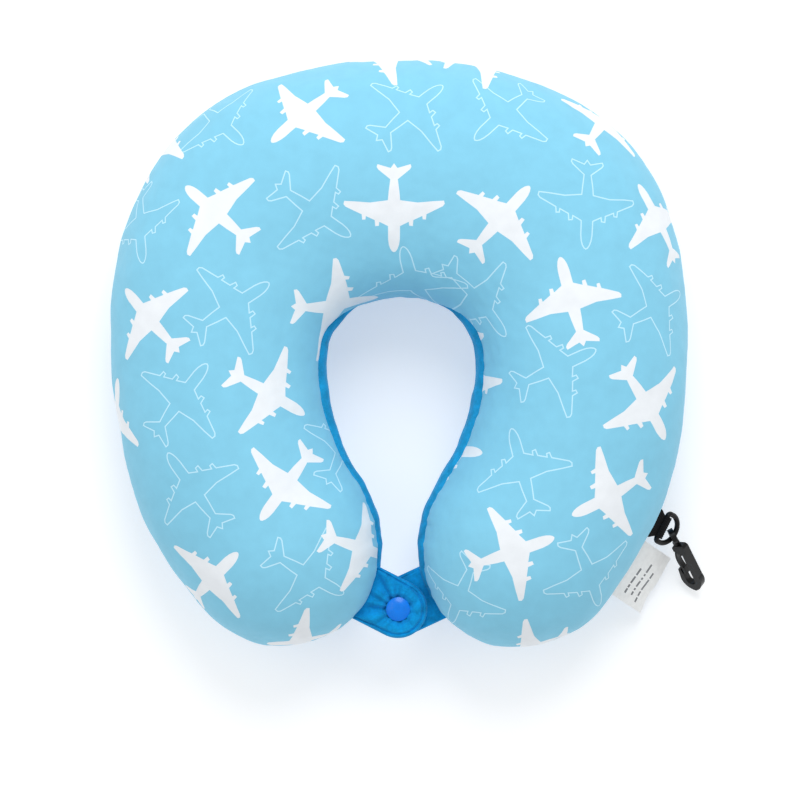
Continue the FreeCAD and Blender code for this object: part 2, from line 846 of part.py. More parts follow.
def main():
    pieces = make_pillow()
    pieces += make_button_tab()
    pieces += make_stud_tab()
    pieces += [make_strap(), make_d_ring(), make_eye(), make_hook_body(), make_gate()]
    pieces.append(make_care_label())
    DOC.recompute()
    check_document()
    write_parts(pieces)


main()
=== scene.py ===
import math

import bpy
import numpy as np
from mathutils import Matrix, Vector, kdtree
from mathutils.geometry import delaunay_2d_cdt


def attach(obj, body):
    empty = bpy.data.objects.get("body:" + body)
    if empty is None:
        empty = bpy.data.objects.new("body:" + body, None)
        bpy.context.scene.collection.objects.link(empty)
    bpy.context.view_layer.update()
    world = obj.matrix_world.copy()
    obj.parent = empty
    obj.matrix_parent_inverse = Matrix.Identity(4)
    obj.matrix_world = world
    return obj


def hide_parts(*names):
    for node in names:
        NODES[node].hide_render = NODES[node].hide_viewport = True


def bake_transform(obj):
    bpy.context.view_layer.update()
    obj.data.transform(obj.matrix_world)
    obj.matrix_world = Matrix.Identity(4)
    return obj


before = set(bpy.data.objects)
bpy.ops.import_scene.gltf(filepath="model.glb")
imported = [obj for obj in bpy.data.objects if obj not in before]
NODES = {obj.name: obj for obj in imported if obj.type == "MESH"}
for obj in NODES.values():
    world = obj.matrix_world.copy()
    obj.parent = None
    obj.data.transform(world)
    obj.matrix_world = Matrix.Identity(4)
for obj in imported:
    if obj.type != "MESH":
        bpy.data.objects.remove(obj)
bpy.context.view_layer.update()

# Lengths below are in millimetres until a mesh is made.
MM = 0.001

# ---------------------------------------------------------------- the U's own shape

HEAD_Y = -5.0
HEAD_RADIUS = 94.65
HALF_WIDTH = 55.85
CROWN_RISE = 0.75
CROWN_SWELL = 5.75
CORNER_SWELL = 5.5
ARM_RADIUS = 154.0
ARM_BEND = math.radians(36.7)
ARM_TAPER = 1.35
TIP_LENGTH = 58.0
HALF_HEIGHT = 51.5
CENTRE_HEIGHT = 48.5
HEAD_TURN = math.pi / 2
END_TURN = HEAD_TURN + ARM_BEND

# The seam's place round the section, from its top: outside, inside, and inside the closed end.
SEAM_OUTER = math.radians(106.4)
SEAM_INNER = math.radians(74.8)
SEAM_NAPE = math.radians(93)
NAPE_TURNS = (math.radians(22), math.radians(72))

# The print is laid out on a flat plan of the cover. Its arms bend less, so that they don't overlap.
PLAN_EASE = 1.15


def head_shape(theta):
    """(centre radius, half width) of the head at an angle from its side."""
    crown = np.sin(theta) ** 2
    corner = np.sin(2 * theta) ** 2
    radius = HEAD_RADIUS - CROWN_RISE * crown + CORNER_SWELL * corner
    return radius, HALF_WIDTH + CROWN_SWELL * crown + CORNER_SWELL * corner


def station(turn, ease=1.0):
    """Centre, outward and onward directions and half width, at a turn from the crown to an arm's end."""
    side = np.where(turn < 0, -1.0, 1.0)
    size = np.abs(turn)
    theta = HEAD_TURN - np.minimum(size, HEAD_TURN)
    radius, half = head_shape(theta)
    bend = np.maximum(size - HEAD_TURN, 0.0)
    phi = bend / ease
    arm_radius = ARM_RADIUS * ease
    in_head = size <= HEAD_TURN
    x = np.where(in_head, radius * np.cos(theta), HEAD_RADIUS - arm_radius + arm_radius * np.cos(phi))
    y = np.where(in_head, radius * np.sin(theta), -arm_radius * np.sin(phi)) + HEAD_Y
    out_x = np.where(in_head, np.cos(theta), np.cos(phi))
    out_y = np.where(in_head, np.sin(theta), -np.sin(phi))
    half = half - ARM_TAPER * bend / ARM_BEND
    centre = np.stack([side * x, y], axis=1)
    outward = np.stack([side * out_x, out_y], axis=1)
    onward = np.stack([side * out_y, -out_x], axis=1)
    return centre, outward, onward, half


def locate(points, ease=1.0):
    """(turn, across, along) of plan points, across in half widths, along in tip lengths past an arm."""
    side = np.where(points[:, 0] < 0, -1.0, 1.0)
    x = np.abs(points[:, 0])
    y = points[:, 1] - HEAD_Y
    theta = np.clip(np.arctan2(y, x), 0, HEAD_TURN)
    radius, half = head_shape(theta)
    across = (np.hypot(x, y) - radius) / half
    turn = HEAD_TURN - theta
    along = np.zeros(len(x))
    arm_radius = ARM_RADIUS * ease
    from_bend = x - HEAD_RADIUS + arm_radius
    phi = np.arctan2(-y, from_bend)
    on_arm = y < 0
    bend = phi * ease
    arm_across = (np.hypot(from_bend, y) - arm_radius) / (HALF_WIDTH - ARM_TAPER * bend / ARM_BEND)
    across = np.where(on_arm, arm_across, across)
    turn = np.where(on_arm, HEAD_TURN + bend, turn)
    past = on_arm & (bend > ARM_BEND)
    end, outward, onward, end_half = station(np.array([END_TURN]), ease)
    offset = np.stack([x, points[:, 1]], axis=1) - end
    across = np.where(past, offset @ outward[0] / end_half[0], across)
    along = np.where(past, offset @ onward[0] / TIP_LENGTH, along)
    turn = np.where(past, END_TURN, turn)
    return side * turn, across, along


# Arc share of a polar angle on the flat plan: between its height above the plan and its arc length.
POLAR = np.linspace(0, math.pi, 6001)
SHARE = (np.sin(POLAR) + POLAR) / 2


def share_of(polar):
    return np.interp(polar, POLAR, SHARE)


def polar_of(share):
    return np.interp(share, SHARE, POLAR)


def eased(value, low, high):
    """0 below low, 1 above high, and smooth between."""
    part = np.clip((value - low) / (high - low), 0, 1)
    return part * part * (3 - 2 * part)


def seam_polar(turn, spin):
    inner = SEAM_NAPE + (SEAM_INNER - SEAM_NAPE) * eased(np.abs(turn), *NAPE_TURNS)
    share = 0.5 - 0.5 * np.cos(spin)
    return SEAM_OUTER + (inner - SEAM_OUTER) * share


# ---------------------------------------------------------------- how the cloth lies over it

MEAN_RADIUS = 52.0
SEAM_SPACING = 56.0
SIDE_STEPS = 1500
STEP_TURNS = np.linspace(0, END_TURN, SIDE_STEPS)
GROOVE_DEPTH, GROOVE_WIDTH = 1.9, 3.4
DIP_DEPTH, DIP_WIDTH = 0.8, 9.0
PUCKER_HEIGHT, PUCKER_LENGTH = 0.34, 6.5
PUCKER_PITCH, FINE_PITCH = 7.9, 5.1
FOLD_HEIGHT, FOLD_LENGTH, FOLD_PITCH = 0.75, 17.0, 23.0
FLOOR_SOFTNESS, FLOOR_REACH = 1.1, 30


def seam_lengths(sign, polar):
    centre, outward, _, half = station(STEP_TURNS)
    line = centre + sign * outward * (half * math.sin(polar))[:, None]
    steps = np.linalg.norm(np.diff(line, axis=0), axis=1)
    return np.concatenate([[0.0], np.cumsum(steps)])


OUTER_LENGTHS = seam_lengths(1, SEAM_OUTER)
INNER_LENGTHS = seam_lengths(-1, SEAM_INNER)


def seam_place(turn, spin):
    """Length along the seam from the crown's outside, round the tip, to the crown's inside."""
    size = np.abs(turn)
    outer = np.interp(size, STEP_TURNS, OUTER_LENGTHS)
    inner = np.interp(size, STEP_TURNS, INNER_LENGTHS)
    round_tip = OUTER_LENGTHS[-1] + SEAM_SPACING * spin
    back = OUTER_LENGTHS[-1] + SEAM_SPACING * math.pi + INNER_LENGTHS[-1] - inner
    at_end = size >= END_TURN - 1e-9
    return np.where(at_end, round_tip, np.where(spin > HEAD_TURN, back, outer))


def waves(points, seed, count, shortest, longest):
    """A smooth random field of that many plane waves, about one unit high."""
    rng = np.random.default_rng(seed)
    directions = rng.normal(size=(count, 3))
    directions /= np.linalg.norm(directions, axis=1)[:, None]
    lengths = rng.uniform(shortest, longest, count)
    phases = rng.uniform(0, 2 * math.pi, count)
    total = np.zeros(len(points))
    for direction, length, phase in zip(directions, lengths, phases):
        total += np.sin(points @ direction * (2 * math.pi / length) + phase)
    return total / math.sqrt(count / 2)


def cloth_rise(points, near, run, spin):
    """The seam's groove, its puckers, the folds inside the U and the filling's lumps."""
    drift = waves(points, 11, 6, 60, 140)
    gathers = np.sin(run * (2 * math.pi / PUCKER_PITCH) + 2.4 * drift)
    gathers += 0.6 * np.sin(run * (2 * math.pi / FINE_PITCH) + 3.1 * drift + 1.0)
    strength = 0.55 + 0.45 * np.clip(waves(points, 12, 8, 40, 110), -1, 1)
    groove = -GROOVE_DEPTH * np.exp(-((near / GROOVE_WIDTH) ** 2))
    dip = -DIP_DEPTH * np.exp(-near / DIP_WIDTH)
    off_stitches = 1 - np.exp(-((near / 2.0) ** 2))
    pucker = PUCKER_HEIGHT * gathers * strength * np.exp(-near / PUCKER_LENGTH) * off_stitches
    inner = 0.5 - 0.5 * np.cos(spin)
    creases = np.clip(np.sin(run * (2 * math.pi / FOLD_PITCH) + 2.0 * drift), -0.4, 1)
    folds = FOLD_HEIGHT * inner * creases * np.exp(-near / FOLD_LENGTH) * (1 - np.exp(-near / 5.0))
    lumps = 0.55 * waves(points, 13, 14, 55, 120) + 0.16 * waves(points, 14, 20, 16, 32)
    lumps += 0.035 * waves(points, 15, 40, 4.5, 8.0)
    return groove + dip + pucker + folds + lumps


def surface(turn, across, along, polar, inset=0.0):
    """Points and plain normals on the cover, for places in the tube or on its rounded tips."""
    centre, outward, onward, half = station(turn)
    spin = np.arctan2(along, across)
    cos_spin, sin_spin = np.cos(spin), np.sin(spin)
    sin_polar, cos_polar = np.sin(polar), np.cos(polar)
    wide = (half * cos_spin * sin_polar)[:, None] * outward
    long = (TIP_LENGTH * sin_spin * sin_polar)[:, None] * onward
    height = CENTRE_HEIGHT + HALF_HEIGHT * cos_polar
    points = np.column_stack([centre + wide + long, height])
    level = (cos_spin * sin_polar / half)[:, None] * outward
    level = level + (sin_spin * sin_polar / TIP_LENGTH)[:, None] * onward
    normals = np.column_stack([level, cos_polar / HALF_HEIGHT])
    normals /= np.linalg.norm(normals, axis=1)[:, None]

    near = np.abs(polar - seam_polar(turn, spin)) * MEAN_RADIUS
    rise = cloth_rise(points, near, seam_place(turn, spin), spin)
    points = points + normals * (rise - inset)[:, None]
    # The underside rests on the floor, so it is flat there, and turns up softly round it.
    above = np.clip((points[:, 2] - inset) / FLOOR_SOFTNESS, -30, 30)
    rest = inset + FLOOR_SOFTNESS * np.log1p(np.exp(above))
    points[:, 2] = np.where(points[:, 2] < FLOOR_REACH, rest, points[:, 2])
    return points, normals


def cover_point(plan):
    """The cover above a point of the flat plan."""
    turn, across, along = locate(plan, PLAN_EASE)
    return surface(turn, across, along, polar_of(np.hypot(across, along)))[0]


# Beyond this share of the half width, a place seen from above is carried on over the side.
TOP_LIMIT = 0.97
OVERHANG = 1.6


def plan_of_top(points):
    """The flat plan's points for those seen from straight above."""
    turn, across, along = locate(points)
    reach = np.hypot(across, along).clip(1e-6)
    beyond = np.maximum(reach - TOP_LIMIT, 0.0)
    scale = (share_of(np.arcsin(np.minimum(reach, TOP_LIMIT))) + OVERHANG * beyond) / reach
    centre, outward, onward, half = station(turn, PLAN_EASE)
    wide = (half * across * scale)[:, None] * outward
    return centre + wide + (TIP_LENGTH * along * scale)[:, None] * onward


# ---------------------------------------------------------------- meshes and materials


def new_mesh(name, points, faces, materials, slots=None, smooth=True):
    mesh = bpy.data.meshes.new(name)
    mesh.from_pydata((np.asarray(points) * MM).tolist(), [], faces)
    for material in materials:
        mesh.materials.append(material)
    if slots is not None:
        mesh.polygons.foreach_set("material_index", slots)
    mesh.polygons.foreach_set("use_smooth", [smooth] * len(mesh.polygons))
    mesh.validate()
    mesh.update()
    obj = bpy.data.objects.new(name, mesh)
    bpy.context.scene.collection.objects.link(obj)
    return obj


def keep_vector(obj, name, values):
    """Stores a vector per point in millimetres, for a weave that follows the cloth."""
    attribute = obj.data.attributes.new(name, "FLOAT_VECTOR", "POINT")
    flat = np.zeros((len(obj.data.vertices), 3), np.float32)
    flat[:, : values.shape[1]] = values
    attribute.data.foreach_set("vector", flat.ravel())


def linear(red, green, blue):
    """A colour of 0 to 255 as the linear one that a shader takes."""
    parts = []
    for value in (red, green, blue):
        part = value / 255
        parts.append(part / 12.92 if part <= 0.04045 else ((part + 0.055) / 1.055) ** 2.4)
    return (*parts, 1.0)


class Material:
    """A node material built up by small steps."""

    def __init__(self, name, roughness, specular=0.5, metallic=0.0):
        self.data = bpy.data.materials.new(name)
        self.data.use_nodes = True
        self.nodes = self.data.node_tree.nodes
        self.links = self.data.node_tree.links
        self.shader = self.nodes["Principled BSDF"]
        self.set("Roughness", roughness)
        self.set("Specular IOR Level", specular)
        self.set("Metallic", metallic)
        self.bumps = None

    def set(self, socket, value):
        self.shader.inputs[socket].default_value = value

    def node(self, kind, **values):
        made = self.nodes.new(kind)
        for key, value in values.items():
            if hasattr(made, key):
                setattr(made, key, value)
            else:
                made.inputs[key.replace("_", " ")].default_value = value
        return made

    def place(self, attribute=None, scale=(1, 1, 1), turn=0.0):
        """Coordinates in millimetres, from the object or from a stored attribute, scaled."""
        if attribute:
            source = self.node("ShaderNodeAttribute", attribute_name=attribute).outputs["Vector"]
            factor = 1.0
        else:
            source = self.nodes.new("ShaderNodeTexCoord").outputs["Object"]
            factor = 1 / MM
        mapping = self.nodes.new("ShaderNodeMapping")
        mapping.inputs["Scale"].default_value = [part * factor for part in scale]
        mapping.inputs["Rotation"].default_value = (0, 0, turn)
        self.links.new(source, mapping.inputs["Vector"])
        return mapping.outputs["Vector"]

    def noise(self, size, detail=2.0, attribute=None, stretch=(1, 1, 1)):
        """Noise whose features are about size millimetres across."""
        made = self.node("ShaderNodeTexNoise", Scale=1.0, Detail=detail)
        scale = [part / size for part in stretch]
        self.links.new(self.place(attribute, scale), made.inputs["Vector"])
        return made.outputs["Fac"]

    def ribs(self, pitch, attribute=None, turn=0.0, distortion=0.0):
        """Sine ribs of that pitch in millimetres, across X turned by turn."""
        # One period of Blender's sine bands is 2 pi / 20 long.
        period = math.pi / 10
        made = self.node(
            "ShaderNodeTexWave", wave_type="BANDS", bands_direction="X", Scale=1.0, Distortion=distortion
        )
        step = period / pitch
        self.links.new(self.place(attribute, (step, step, step), turn), made.inputs["Vector"])
        return made.outputs["Fac"]

    def math(self, operation, first, second):
        made = self.node("ShaderNodeMath", operation=operation)
        for socket, value in zip(made.inputs, (first, second)):
            if isinstance(value, (int, float)):
                socket.default_value = value
            else:
                self.links.new(value, socket)
        return made.outputs[0]

    def ramp(self, value, stops):
        """A colour ramp over value: stops are (place, colour)."""
        made = self.nodes.new("ShaderNodeValToRGB")
        elements = made.color_ramp.elements
        while len(elements) < len(stops):
            elements.new(0.5)
        for element, (place, colour) in zip(elements, stops):
            element.position = place
            element.color = colour
        self.links.new(value, made.inputs["Fac"])
        return made.outputs["Color"]

    def colour(self, output):
        self.links.new(output, self.shader.inputs["Base Color"])

    def rough(self, value, low, high):
        made = self.node("ShaderNodeMapRange", To_Min=low, To_Max=high)
        self.links.new(value, made.inputs["Value"])
        self.links.new(made.outputs["Result"], self.shader.inputs["Roughness"])

    def bump(self, height, depth, strength=1.0):
        """Adds a bump of depth millimetres over any that is there."""
        made = self.node("ShaderNodeBump", Strength=strength, Distance=depth * MM)
        self.links.new(height, made.inputs["Height"])
        if self.bumps is not None:
            self.links.new(self.bumps, made.inputs["Normal"])
        self.bumps = made.outputs["Normal"]
        self.links.new(self.bumps, self.shader.inputs["Normal"])
        return self


def shades(red, green, blue, spread):
    """Two stops round a colour, darker and lighter by spread."""
    dark = linear(*(part * (1 - spread) for part in (red, green, blue)))
    light = linear(*(min(part * (1 + spread), 255) for part in (red, green, blue)))
    return [(0.3, dark), (0.7, light)]


def jersey(name, red, green, blue, spread=0.012):
    """Smooth printed stretch jersey with fine wales and courses."""
    cloth = Material(name, 0.82, 0.25)
    cloth.colour(cloth.ramp(cloth.noise(9.0, 3.0, "plan"), shades(red, green, blue, spread)))
    cloth.set("Sheen Weight", 0.12)
    cloth.set("Sheen Roughness", 0.5)
    wales = cloth.ribs(0.62, "plan", distortion=0.3)
    courses = cloth.ribs(0.45, "plan", math.pi / 2, 0.3)
    cloth.bump(cloth.math("MULTIPLY", wales, courses), 0.05, 0.5)
    cloth.bump(cloth.noise(1.3, 2.0, "plan"), 0.04, 0.35)
    return cloth.data


def plush(name, red, green, blue):
    """Short-pile plush with a light edge sheen, its colour mottled by painted sheen: random patches
    lighter and darker, standing for the nap lying differently.
    """
    cloth = Material(name, 0.9, 0.15)
    # Painted sheen: the colour is mottled lighter and darker in random patches, standing for the nap
    # lying differently.
    nap = cloth.math("ADD", cloth.noise(5.5, 3.0), cloth.math("MULTIPLY", cloth.noise(1.1, 3.0), 0.5))
    cloth.colour(cloth.ramp(cloth.math("MULTIPLY", nap, 0.667), shades(red, green, blue, 0.13)))
    cloth.set("Sheen Weight", 0.3)
    cloth.set("Sheen Roughness", 0.4)
    cloth.set("Sheen Tint", linear(150, 225, 245))
    cloth.bump(cloth.noise(0.55, 3.0), 0.22, 0.8)
    cloth.bump(cloth.noise(2.6, 2.0), 0.3, 0.5)
    return cloth.data


def beads(name):
    """White polystyrene microbeads pressed against each other, greyed by painted shade towards each
    bead's rim.
    """
    bead = Material(name, 0.6, 0.3)
    cells = bead.node("ShaderNodeTexVoronoi", Scale=1.0)
    bead.links.new(bead.place(None, (1.0, 1.0, 1.0)), cells.inputs["Vector"])
    # Painted shade: white at each cell's middle and greyer towards its rim, where the round beads turn
    # away and meet.
    stops = [(0.0, linear(250, 250, 250)), (0.8, linear(205, 208, 212))]
    bead.colour(bead.ramp(cells.outputs["Distance"], stops))
    bead.bump(cells.outputs["Distance"], 0.4, 0.8)
    return bead.data


def webbing(name):
    """Black woven nylon tape, with painted shade in the weave's hollows and painted highlight on its
    raised threads.
    """
    tape = Material(name, 0.7, 0.2)
    weave = tape.math("MULTIPLY", tape.ribs(0.8, "plan", 0.6), tape.ribs(0.8, "plan", -0.6))
    # Painted shade and highlight: the colour follows the weave's bump, near black in its hollows and
    # lighter on the raised threads.
    tape.colour(tape.ramp(weave, [(0.1, linear(4, 4, 5)), (0.8, linear(26, 26, 29))]))
    tape.bump(weave, 0.15, 0.8)
    tape.bump(tape.noise(0.4, 2.0), 0.05, 0.5)
    return tape.data


def black_plastic(name):
    """Injection-moulded black plastic, satin, slightly scuffed."""
    plastic = Material(name, 0.34, 0.3)
    scuff = plastic.noise(2.4, 4.0)
    plastic.colour(plastic.ramp(scuff, [(0.3, linear(3, 3, 4)), (0.75, linear(10, 10, 12))]))
    plastic.rough(plastic.noise(1.2, 4.0), 0.24, 0.42)
    plastic.bump(plastic.noise(0.35, 2.0), 0.02, 0.5)
    return plastic.data


def blue_snap(name):
    """Glossy moulded blue snap."""
    plastic = Material(name, 0.2, 0.3)
    plastic.colour(plastic.ramp(plastic.noise(3.0, 2.0), shades(0, 124, 232, 0.03)))
    plastic.rough(plastic.noise(1.5, 3.0), 0.16, 0.28)
    plastic.bump(plastic.noise(0.8, 2.0), 0.01, 0.4)
    return plastic.data


def satin(name, mark=False):
    """Woven label satin, or the grey ink on it."""
    cloth = Material(name, 0.5, 0.3)
    tone = (118, 122, 126) if mark else (246, 248, 248)
    cloth.colour(cloth.ramp(cloth.noise(3.0, 3.0, "plan"), shades(*tone, 0.02)))
    cloth.set("Sheen Weight", 0.2)
    cloth.set("Anisotropic", 0.4)
    cloth.bump(cloth.ribs(0.3, "plan"), 0.02, 0.5)
    return cloth.data


GROUND = jersey("jersey_ground", 133, 205, 233)
INK_WHITE = jersey("jersey_white_print", 238, 243, 248)
INK_LINE = jersey("jersey_line_print", 190, 234, 252)
BLUE_PLUSH = plush("blue_plush", 30, 155, 208)
TAB_PLUSH = plush("tab_plush", 8, 142, 206)
BEADS = beads("bead_filling")
WEBBING = webbing("black_webbing")
BLACK_PLASTIC = black_plastic("black_plastic")
BLUE_SNAP = blue_snap("blue_snap")
SATIN = satin("label_satin")
SATIN_INK = satin("label_ink", mark=True)

# ---------------------------------------------------------------- the aeroplane print

# Half of a generic four-engined aeroplane, nose first, seen from above with its nose along +X.
HALF_PLANE = [
    (23.5, 0.0), (23.0, 0.9), (21.6, 1.8), (19.4, 2.5), (16.4, 2.9), (9.2, 3.0),
    (6.9, 7.4), (9.0, 7.6), (9.2, 9.4), (6.0, 9.7),
    (3.8, 14.2), (5.6, 14.4), (5.7, 16.0), (2.9, 16.3),
    (-1.3, 24.6), (-2.6, 25.6), (-4.2, 25.2), (-3.9, 20.0), (-3.2, 12.0), (-4.4, 3.1),
    (-9.0, 2.7), (-15.2, 1.9), (-20.2, 8.0), (-21.5, 8.8), (-22.9, 8.4), (-20.9, 1.7), (-23.3, 0.0),
]
LINE_WIDTH = 0.62
EDGE_STEP = 1.8

# Places of the printed aeroplanes seen from above, and which way each nose points, in degrees.
FILLED = [
    (-48, 120, 222), (104, 117, 56), (-93, 69, 139), (-3, 71, -90), (133, 65, 117),
    (-127, 15, 131), (-35.5, 23, 9), (87, 24, 105), (-67, -22, -30), (125, -27, -58),
    (-57, -68, 234), (26, -52, 0), (108, -74, 207), (-97, -118, 46), (-21, -101, -20),
    (56, -103, 19), (-5, 151, 180), (42, 149, 0), (-125, 106, 60), (-149, -36, 80),
    (-49, -150, 190), (36, -14, -100), (70, -153, 200), (50, 65, 48),
]
OUTLINED = [
    (-93, 117, -43), (5, 121, 41), (54, 121, 222), (-133, 65, -85), (-44, 70, -35),
    (95, 74, -92), (-86, 21, 32), (8, 34, 120), (39, 26, -48),
    (130, 21, 28), (-112, -26, 53), (78, -10, 25), (-104, -72, 126), (-31, -52, 75),
    (62, -62, 105), (-47, -114, -31), (96, -114, -68), (31, -125, -110),
]


def plane_outline():
    half = HALF_PLANE
    other = [(x, -y) for x, y in half[-2:0:-1]]
    return np.array(half + other)


def resample(loop, step):
    """A closed loop with its corners kept and its long edges divided."""
    points = []
    for here, there in zip(loop, np.roll(loop, -1, axis=0)):
        count = max(1, math.ceil(np.linalg.norm(there - here) / step))
        points += [here + (there - here) * part / count for part in range(count)]
    return np.array(points)


def offset_loop(loop, distance):
    """The loop moved sideways by distance, inwards when positive, with its mitres held short."""
    ahead = np.roll(loop, -1, axis=0) - loop
    ahead /= np.linalg.norm(ahead, axis=1)[:, None]
    normal = np.stack([-ahead[:, 1], ahead[:, 0]], axis=1)
    before = np.roll(normal, 1, axis=0)
    mitre = normal + before
    mitre /= np.maximum((mitre * normal).sum(axis=1), 0.55)[:, None]
    return loop + mitre * distance


# An aeroplane's heading on the plan is taken from two points this far ahead of it and behind it.
HEADING_REACH = 5.0


def print_loops():
    """Closed loops on the plan, each with the kind of print it bounds."""
    outline = plane_outline()
    loops = []
    for kind, places in (("filled", FILLED), ("outlined", OUTLINED)):
        for x, y, heading in places:
            angle = math.radians(heading)
            ahead = HEADING_REACH * np.array([math.cos(angle), math.sin(angle)])
            tail, nose = plan_of_top(np.array([(x, y) - ahead, (x, y) + ahead]))
            along = (nose - tail) / np.linalg.norm(nose - tail)
            across = np.array([-along[1], along[0]])
            middle = (tail + nose) / 2
            placed = middle + outline[:, :1] * along + outline[:, 1:] * across
            loop = resample(placed, EDGE_STEP)
            if kind == "filled":
                loops.append(("filled", loop))
            else:
                loops.append(("rim", offset_loop(loop, -LINE_WIDTH / 2)))
                loops.append(("hollow", offset_loop(loop, LINE_WIDTH / 2)))
    return loops


def plan_edge(step):
    """The front panel's cut edge on the plan, anticlockwise from the crown's outside."""
    turns = np.linspace(-END_TURN, END_TURN, 1200)
    centre, outward, _, half = station(turns, PLAN_EASE)
    outer = centre + outward * (half * share_of(seam_polar(turns, 0.0)))[:, None]
    inner = centre - outward * (half * share_of(seam_polar(turns, math.pi)))[:, None]
    spins = np.linspace(0, math.pi, 400)[1:-1]
    tips = []
    for turn in (END_TURN, -END_TURN):
        end, out, on, end_half = station(np.array([turn]), PLAN_EASE)
        size = share_of(seam_polar(END_TURN, spins))
        wide = (end_half[0] * np.cos(spins) * size)[:, None] * out
        tips.append(end + wide + (TIP_LENGTH * np.sin(spins) * size)[:, None] * on)
    loop = np.concatenate([outer, tips[0], inner[::-1], tips[1][::-1]])[::-1]
    closed = np.concatenate([loop, loop[:1]])
    lengths = np.concatenate([[0.0], np.cumsum(np.linalg.norm(np.diff(closed, axis=0), axis=1))])
    places = np.linspace(0, lengths[-1], round(lengths[-1] / step), endpoint=False)
    return np.stack([np.interp(places, lengths, closed[:, k]) for k in (0, 1)], axis=1)


def inside(points, loop):
    """Whether each point is inside a closed loop."""
    hit = np.zeros(len(points), bool)
    for (x0, y0), (x1, y1) in zip(loop, np.roll(loop, -1, axis=0)):
        crosses = (y0 > points[:, 1]) != (y1 > points[:, 1])
        at = x0 + (points[:, 1] - y0) * (x1 - x0) / (y1 - y0 if y1 != y0 else 1e-9)
        hit ^= crosses & (points[:, 0] < at)
    return hit


def grid_points(loop, step, drawn):
    """A staggered grid inside the loop, clear of the loop and of what is drawn."""
    low, high = loop.min(axis=0), loop.max(axis=0)
    rows = np.arange(low[1], high[1], step * math.sqrt(3) / 2)
    made = []
    for index, y in enumerate(rows):
        x = np.arange(low[0] + (index % 2) * step / 2, high[0], step)
        made.append(np.stack([x, np.full(len(x), y)], axis=1))
    points = np.concatenate(made)
    points = points[inside(points, loop)]
    fixed = np.concatenate([loop, drawn])
    tree = kdtree.KDTree(len(fixed))
    for index, point in enumerate(fixed):
        tree.insert((*point, 0), index)
    tree.balance()
    clear = step * 0.5
    return points[[tree.find((*point, 0))[2] > clear for point in points]]


def lay_print(step):
    """Plan points, triangles and print slot of each triangle: 0 ground, 1 white, 2 line."""
    edge = plan_edge(step)
    loops = print_loops()
    drawn = np.concatenate([loop for _, loop in loops])
    points = [edge] + [loop for _, loop in loops] + [grid_points(edge, step, drawn)]
    starts = np.cumsum([0] + [len(group) for group in points])
    faces = [list(range(starts[i], starts[i + 1])) for i in range(len(loops) + 1)]
    flat = [Vector(point) for point in np.concatenate(points)]
    placed, _, triangles, _, _, _ = delaunay_2d_cdt(flat, [], faces, 0, 1e-5)
    placed = np.array([tuple(point) for point in placed])
    triangles = np.array([list(triangle) for triangle in triangles])
    middles = placed[triangles].mean(axis=1)
    on_cloth = inside(middles, edge)
    triangles, middles = triangles[on_cloth], middles[on_cloth]
    filled = np.zeros(len(middles), bool)
    lines = np.zeros(len(middles), int)
    for kind, loop in loops:
        near = ((middles > loop.min(axis=0)) & (middles < loop.max(axis=0))).all(axis=1)
        found = np.flatnonzero(near)
        found = found[inside(middles[found], loop)]
        if kind == "filled":
            filled[found] = True
        else:
            lines[found] += 1 if kind == "rim" else -1
    slots = np.where(filled, 1, np.where(lines > 0, 2, 0))
    used = np.unique(triangles)
    renumber = np.full(len(placed), -1)
    renumber[used] = np.arange(len(used))
    return placed[used], renumber[triangles].tolist(), slots.tolist()


# ---------------------------------------------------------------- the pillow

PANEL_STEP = 1.7
LIP = 2.4


def open_edges(faces):
    """The edges, as pairs of points, that only one face has."""
    uses = {pair: True for face in faces for pair in zip(face, face[1:] + face[:1])}
    return [pair for pair in uses if (pair[1], pair[0]) not in uses]


def make_front_panel():
    """The printed jersey top, one smooth sheet whose cut edge turns in at the seam."""
    plan, faces, slots = lay_print(PANEL_STEP)
    points = cover_point(plan)
    nudge = 0.25
    east = cover_point(plan + (nudge, 0)) - cover_point(plan - (nudge, 0))
    north = cover_point(plan + (0, nudge)) - cover_point(plan - (0, nudge))
    normals = np.cross(east, north)
    normals /= np.linalg.norm(normals, axis=1)[:, None]
    rim = open_edges(faces)
    lip_of = {}
    lip_points, lip_plan = [], []
    for index in sorted({index for pair in rim for index in pair}):
        lip_of[index] = len(points) + len(lip_points)
        lip_points.append(points[index] - normals[index] * LIP)
        lip_plan.append(plan[index])
    for first, second in rim:
        faces.append([second, first, lip_of[first], lip_of[second]])
        slots.append(0)
    points = np.concatenate([points, lip_points])
    obj = new_mesh("front_panel_cloth", points, faces, [GROUND, INK_WHITE, INK_LINE], slots)
    keep_vector(obj, "plan", np.concatenate([plan, lip_plan]))
    full = np.concatenate([normals, normals[list(lip_of)]])
    obj.data.normals_split_custom_set_from_vertices(full.tolist())
    return obj


def strip_faces(rows, columns, closed=False, start=0):
    """Quads over a grid of points stored row by row."""
    faces = []
    last = columns if closed else columns - 1
    for row in range(rows - 1):
        for column in range(last):
            here = start + row * columns + column
            there = start + row * columns + (column + 1) % columns
            faces.append([here, there, there + columns, here + columns])
    return faces


# Rough radii that set how finely a panel is divided, and those that lay its cloth out flat.
OUTER_RADIUS, TUBE_RADIUS = 120, 60
PLAN_BEND, PLAN_TUBE = 100, 55


